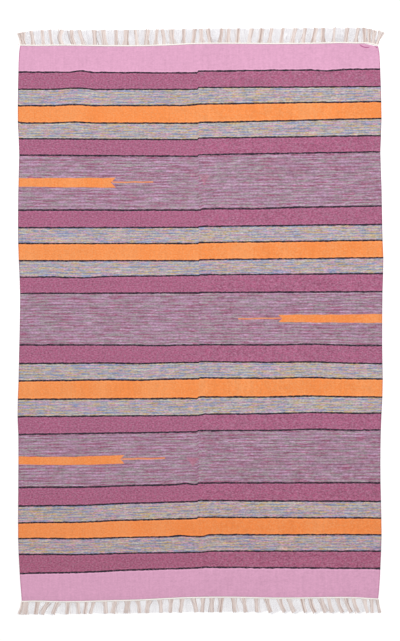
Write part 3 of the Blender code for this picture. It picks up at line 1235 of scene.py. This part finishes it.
def woven_panel_mesh(settings):
    """The cloth as a closed thin sheet with rounded rims, gridded along its warps and bands."""
    width = CLOTH_RIGHT - CLOTH_LEFT
    columns = grid_steps(0.0, width, settings.rib_pitch / 4, SIDE_RIM, SIDE_RIM[-1])
    rows = panel_rows()
    points, weave, inner, maps = [], [], [], []
    over, under = {}, {}
    for r, (band, row_depth) in enumerate(rows):
        for c, (column, column_depth) in enumerate(columns):
            share = column / width
            y = band_along(band, CLOTH_LEFT + column)
            x = mix(read(SELVEDGES, "left", y), read(SELVEDGES, "right", y), share)
            if 0 < r < len(rows) - 1:
                y += noise.noise(Vector((x * 0.014, band * 0.6, 3.1))) * 0.6
            depth = min(row_depth / END_RIM[-1], column_depth / SIDE_RIM[-1], 1.0)
            bulge = sqrt(1 - (1 - depth) ** 2)
            slack = 0.25 + 0.25 * noise.noise(Vector((x * 0.011, y * 0.009, 7.7)))
            floor = lift(x, y) + slack * ease(row_depth / 40)
            is_rim = depth == 0
            for side, index in ((1, over), (-1, under)):
                if side < 0 and is_rim:
                    index[r, c] = over[r, c]
                    continue
                index[r, c] = len(points)
                z = floor + CLOTH_THICKNESS / 2 * (1 + side * bulge)
                points.append(plan_to_frame(x, y, z))
                weave.append((x * MM, y * MM, band))
                inner.append(depth)
                maps.append(((band + END_BANDS) / (LAST_THREAD_BAND + 2 * END_BANDS), share))
    faces = []
    for r in range(len(rows) - 1):
        for c in range(len(columns) - 1):
            corners = ((r, c), (r + 1, c), (r + 1, c + 1), (r, c + 1))
            faces.append([over[corner] for corner in corners])
            faces.append([under[corner] for corner in reversed(corners)])
    piece = new_piece("woven_cloth", points, [], faces)
    mesh = piece.data
    set_attribute(mesh, "weave", "FLOAT_VECTOR", weave)
    set_attribute(mesh, "inner", "FLOAT", inner)
    uv = mesh.uv_layers.new(name="OFBake")
    corners = [loop.vertex_index for loop in mesh.loops]
    uv.data.foreach_set("uv", [part for k in corners for part in maps[k]])
    return piece


def guide_lines(name, lines):
    """A mesh of open lines. Each is a list of points and spreads, the number of its yarns, and how
    thick they are beside the usual."""
    points, edges, spreads, yarns, girths = [], [], [], [], []
    for line, count, girth in lines:
        for k, (point, spread) in enumerate(line):
            if k:
                edges.append((len(points) - 1, len(points)))
            points.append(point)
            spreads.append(spread)
            yarns.append(count)
            girths.append(girth)
    piece = new_piece(name, points, edges, [])
    set_attribute(piece.data, "spread", "FLOAT", spreads)
    set_attribute(piece.data, "yarns", "INT", yarns)
    set_attribute(piece.data, "girth", "FLOAT", girths)
    return piece


def cord_guide(name, side):
    """The middle line of an end cord, from the left edge to the right."""
    left, right = (read(SELVEDGES, edge, side * CORD_ALONG) for edge in ("left", "right"))
    line = []
    for i in range(CORD_SECTIONS + 1):
        x = mix(left + 1, right - 1, i / CORD_SECTIONS)
        y = end_along(side, x) + side * (GAP + CORD_WIDTH / 2)
        line.append((plan_to_frame(x, y, lift(x, y) + CORD_HEIGHT / 2), 0.0))
    return guide_lines(name, [(line, CORD_YARNS, 1.0)])


def hank_width(hank, share):
    """A hank's width at a share of the way from its root to its cut end."""
    if share < HANK_WAIST:
        return mix(hank.width * ROOT_FLARE, hank.width, share / HANK_WAIST)
    return mix(hank.width, hank.cut_width, (share - HANK_WAIST) / (1 - HANK_WAIST))


def fringe_line(side, root, cut, bow, widths, radius):
    """A guide line from under the cord to the cut end, from its places across at both, how far its
    middle strays, its width at each section and its yarns' radius."""
    under_cord = GAP + CORD_WIDTH * 0.7
    y_root = end_along(side, root) + side * under_cord
    line = []
    for i, width in enumerate(widths):
        share = i / HANK_SECTIONS
        x = mix(root, cut, share) + bow * sin(share * pi)
        y = mix(y_root, read(ENDS, "far_cut" if side > 0 else "near_cut", x), share)
        z = lift(x, y_root) * (1 - share) ** 2 + radius
        line.append((plan_to_frame(x, y, z), (width / 2 - radius) * MM))
    return line


def fringe_guide(name, side, hanks, settings):
    """A guide line for each hank, from the cord to the cut end, and one for the loose hairs of cotton
    between each hank and the next, whose grey is partly painted shade on the floor between hanks."""
    shares = [i / HANK_SECTIONS for i in range(HANK_SECTIONS + 1)]
    lines = []
    radius = settings.yarn_width / 2
    for hank in hanks:
        widths = [hank_width(hank, share) for share in shares]
        line = fringe_line(side, hank.root, hank.cut, hank.bow, widths, radius)
        lines.append((line, max(round(hank.width * settings.yarns_per_width), 5), 1.0))

    radius = settings.hair_width / 2
    girth = settings.hair_width / settings.yarn_width
    hairs = settings.far_hairs if side > 0 else settings.near_hairs
    for hank, after in zip(hanks, hanks[1:], strict=False):
        root_gap, cut_gap = after.root - hank.root, after.cut - hank.cut
        widths = [mix(root_gap, cut_gap, share) for share in shares]
        root, cut, bow = ((getattr(hank, at) + getattr(after, at)) / 2 for at in ("root", "cut", "bow"))
        line = fringe_line(side, root, cut, bow, widths, radius)
        lines.append((line, round((root_gap + cut_gap) / 2 * hairs), girth))
    return guide_lines(name, lines)


# ---------------------------------------------------------------- settings, operators and panel


def colour_setting(name, description, code):
    return FloatVectorProperty(
        name=name,
        description=description,
        subtype="COLOR",
        size=4,
        min=0.0,
        max=1.0,
        default=linear(code),
    )


def number_setting(name, description, default):
    return FloatProperty(name=name, description=description, default=default, min=0.01, unit="NONE")


class KilimClothSettings(bpy.types.PropertyGroup):
    """Sizes and yarn colours of the woven panel."""

    rib_pitch: number_setting("Rib pitch", "From one warp to the next, in millimetres", 5.2)
    rib_depth: number_setting("Rib depth", "How deep the furrow between two warps is, in millimetres", 0.3)
    weft_pitch: number_setting("Weft pitch", "From one weft row to the next, in millimetres", 3.2)
    pink: colour_setting("Pink", "The plain ends", "CB96B3")
    plum: colour_setting("Plum", "The plain plum bands", "944D6C")
    orange: colour_setting("Orange", "The middle band of each repeat, and the arrows", "DE7F3F")
    orange_pale: colour_setting("Pale orange", "Where the orange weft is paler", "DF8E55")
    dark: colour_setting("Dark", "The parting threads", "241C28")
    # Painted shade for the creases of the puckered corner.
    crease_shade: colour_setting("Crease", "The depth of a crease in the pink ends", "9C3F74")
    rosy: colour_setting("Rosy yarn", "The short inlaid rows beside the join", "A8677E")
    selvedge: colour_setting("Selvedge", "What the edges are darkened by", "D8A0BC")
    # Painted warm light towards the near end of the cloth.
    painted_warm_light: colour_setting("Near tint", "What warms the cloth a little towards its near end", "FFF9F7")
    lint: colour_setting("Lint", "Pale fibre in the plum weft", "C08AA6")
    plum_grey: colour_setting("Plum grey", "Where the plum weft is greyer", "8E6A7C")
    melange_pale: colour_setting("Melange pale", "Pale cotton in the grey marled bands", "A6A39B")
    melange_ochre: colour_setting("Melange ochre", "Ochre in the grey marled bands", "B0986E")
    melange_blue: colour_setting("Melange blue", "Blue in the grey marled bands", "7F85A3")
    melange_rose: colour_setting("Melange rose", "Rose in the grey marled bands", "B08A9F")
    mauve_plum: colour_setting("Mauve plum", "Plum in the marled fields", "906B80")
    mauve_crimson: colour_setting("Mauve crimson", "Crimson in the marled fields", "8D536D")
    mauve_grey: colour_setting("Mauve grey", "Grey in the marled fields", "91858A")
    mauve_lilac: colour_setting("Mauve lilac", "Lilac in the marled fields", "A686A0")


class KilimCordSettings(bpy.types.PropertyGroup):
    """Sizes and colours of the twined end cords."""

    turn: number_setting("Turn", "The length of one turn of the twining, in millimetres", 10.5)
    yarn_width: number_setting("Yarn width", "The thickness of each yarn, in millimetres", 2.7)
    pale: colour_setting("Pale", "The palest cotton in the cords", "EFEBE6")
    middle: colour_setting("Middle", "The usual cotton in the cords", "E8E2DB")
    dark: colour_setting("Dark", "The darkest cotton in the cords", "CBBEB5")


class KilimFringeSettings(bpy.types.PropertyGroup):
    """Sizes and colours of the fringes."""

    yarn_width: number_setting("Yarn width", "The thickness of each yarn, in millimetres", 1.9)
    yarns_per_width: number_setting("Yarns", "Yarns for each millimetre of a hank's width", 1.15)
    hair_width: number_setting("Hair width", "The thickness of a loose hair of cotton, in millimetres", 0.4)
    # How thickly the hairs lie sets how much painted shade they lay between hanks.
    far_hairs: number_setting("Far hairs", "Loose hairs for each millimetre between two far hanks", 1.2)
    near_hairs: number_setting("Near hairs", "Loose hairs for each millimetre between two near hanks", 0.85)
    pale: colour_setting("Pale", "The palest warp", "E1D5D0")
    middle: colour_setting("Middle", "The usual warp", "D1C1BC")
    # Partly painted shade: the darkest warps also stand in for the shade between the yarns of a hank.
    dark: colour_setting("Dark", "The darkest warp", "A2867A")
    # Partly painted shade: the hairs are greyed so that they stand in for the shade between hanks.
    hair_and_shade: colour_setting("Hair", "The loose hairs of cotton", "C9C4C9")
    seed: IntProperty(name="Seed", description="Seed of the yarns' small differences", default=5)


class KilimStageSettings(bpy.types.PropertyGroup):
    """The floor, the lights and the camera."""

    camera_height: FloatProperty(
        name="Camera height", description="From the floor to the camera", default=5.002, unit="LENGTH"
    )
    lens: FloatProperty(name="Lens", description="Focal length of the camera", default=85.0, unit="CAMERA")
    light: FloatProperty(name="Light", description="Power of the main light", default=210.0, unit="POWER")
    fill: FloatProperty(name="Fill", description="Strength of the light from all round", default=0.51)


def ride_and_replace(piece, node):
    """Sets a piece on the frame in place of its plain solid."""
    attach(piece, "root")
    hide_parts(node)


class WeaveCloth(bpy.types.Operator):
    """Weave the striped panel"""

    bl_idname = "kilim.weave_cloth"
    bl_label = "Woven cloth"

    def execute(self, context):
        settings = context.scene.kilim_cloth
        marl_group()
        arrow_group()
        crease_shade_group()
        material = striped_cotton(settings)
        cloth = woven_panel_mesh(settings)
        sizes = {
            "Pitch": settings.rib_pitch * MM,
            "Depth": settings.rib_depth * MM,
            "Material": material,
        }
        run_tree(cloth, rib_tree(), sizes)
        ride_and_replace(cloth, "woven_panel")
        return {"FINISHED"}


class TwineCords(bpy.types.Operator):
    """Twine the cord along each end"""

    bl_idname = "kilim.twine_cords"
    bl_label = "End cords"

    def execute(self, context):
        settings = context.scene.kilim_cord
        spun_group()
        colours = {"Pale": settings.pale, "Middle": settings.middle, "Dark": settings.dark}
        material = yarn_material("ivory_cotton", colours, 900.0)
        tree = cord_tree()
        sizes = {
            "Yarns": CORD_YARNS,
            "Turn": settings.turn * MM,
            "Radius": settings.yarn_width / 2 * MM,
            "Spread": (CORD_WIDTH - settings.yarn_width) / 2 * MM,
            "Rise": (CORD_HEIGHT - settings.yarn_width) / 2 * MM,
            "Material": material,
        }
        for end, side in (("far", 1), ("near", -1)):
            cord = cord_guide(f"twined_cord_{end}", side)
            run_tree(cord, tree, sizes | {"Seed": 3 + side})
            ride_and_replace(cord, f"end_cord_{end}")
        return {"FINISHED"}


class GatherFringes(bpy.types.Operator):
    """Gather the warp ends into the fringe at each end"""

    bl_idname = "kilim.gather_fringes"
    bl_label = "Fringes"

    def execute(self, context):
        settings = context.scene.kilim_fringe
        colours = {
            "Pale": settings.pale,
            "Middle": settings.middle,
            "Dark": settings.dark,
            "Hair": settings.hair_and_shade,
        }
        material = yarn_material("natural_warp", colours, 30.0)
        tree = fringe_tree()
        sizes = {"Radius": settings.yarn_width / 2 * MM, "Material": material}
        for end, side, hanks in (("far", 1, FAR_HANKS), ("near", -1, NEAR_HANKS)):
            fringe = fringe_guide(f"warp_fringe_{end}", side, hanks, settings)
            run_tree(fringe, tree, sizes | {"Seed": settings.seed + 10 * side})
            ride_and_replace(fringe, f"fringe_{end}")
        return {"FINISHED"}


class SetStage(bpy.types.Operator):
    """Lay the floor and set the lights and the camera"""

    bl_idname = "kilim.set_stage"
    bl_label = "Stage"

    def execute(self, context):
        settings = context.scene.kilim_stage
        scene = context.scene
        turns = ((-1, -1), (1, -1), (1, 1), (-1, 1))
        corners = [(FLOOR_HALF * x, FLOOR_HALF * y, -FLOOR_DROP) for x, y in turns]
        floor = new_piece("floor", corners, [], [(0, 1, 2, 3)])
        paint = bpy.data.materials.new("pale_floor")
        paint.use_nodes = True
        shader = paint.node_tree.nodes["Principled BSDF"]
        shader.inputs["Base Color"].default_value = (0.95, 0.95, 0.955, 1.0)
        shader.inputs["Roughness"].default_value = 0.95
        shader.inputs["Specular IOR Level"].default_value = 0.1
        floor.data.materials.append(paint)

        world = bpy.data.worlds.new("studio")
        world.use_nodes = True
        background = world.node_tree.nodes["Background"]
        background.inputs["Color"].default_value = (1.0, 1.0, 1.0, 1.0)
        background.inputs["Strength"].default_value = settings.fill
        scene.world = world

        lamp = bpy.data.lights.new("soft_light", "AREA")
        lamp.shape = "RECTANGLE"
        lamp.size, lamp.size_y = LIGHT_SIZE
        lamp.energy = settings.light
        light = bpy.data.objects.new("soft_light", lamp)
        light.location = LIGHT_AT
        beam = Vector(LIGHT_AIM) - Vector(LIGHT_AT)
        light.rotation_euler = beam.to_track_quat("-Z", "Y").to_euler()
        scene.collection.objects.link(light)

        camera = bpy.data.objects.new("camera", bpy.data.cameras.new("camera"))
        camera.data.lens = settings.lens
        camera.data.sensor_width = 36.0
        camera.location = (*CAMERA_AT, settings.camera_height)
        scene.collection.objects.link(camera)
        scene.camera = camera
        scene.view_settings.view_transform = "Standard"
        return {"FINISHED"}


OPERATORS = (WeaveCloth, TwineCords, GatherFringes, SetStage)
SETTINGS = {
    "kilim_cloth": KilimClothSettings,
    "kilim_cord": KilimCordSettings,
    "kilim_fringe": KilimFringeSettings,
    "kilim_stage": KilimStageSettings,
}


class KilimPanel(bpy.types.Panel):
    """The rug's pieces, in the order in which they are made"""

    bl_idname = "VIEW3D_PT_kilim"
    bl_label = "Kilim rug"
    bl_space_type = "VIEW_3D"
    bl_region_type = "UI"
    bl_category = "Kilim"

    def draw(self, context):
        for operator in OPERATORS:
            self.layout.operator(operator.bl_idname)
        for name, group in SETTINGS.items():
            box = self.layout.box()
            for setting in group.__annotations__:
                box.prop(getattr(context.scene, name), setting)


def register():
    for group in SETTINGS.values():
        bpy.utils.register_class(group)
    for name, group in SETTINGS.items():
        setattr(bpy.types.Scene, name, PointerProperty(type=group))
    for operator in OPERATORS:
        bpy.utils.register_class(operator)
    bpy.utils.register_class(KilimPanel)


def unregister():
    bpy.utils.unregister_class(KilimPanel)
    for operator in reversed(OPERATORS):
        bpy.utils.unregister_class(operator)
    for name, group in SETTINGS.items():
        delattr(bpy.types.Scene, name)
        bpy.utils.unregister_class(group)


def main():
    register()
    bpy.ops.kilim.weave_cloth()
    bpy.ops.kilim.twine_cords()
    bpy.ops.kilim.gather_fringes()
    bpy.ops.kilim.set_stage()


if __name__ == "__main__":
    main()
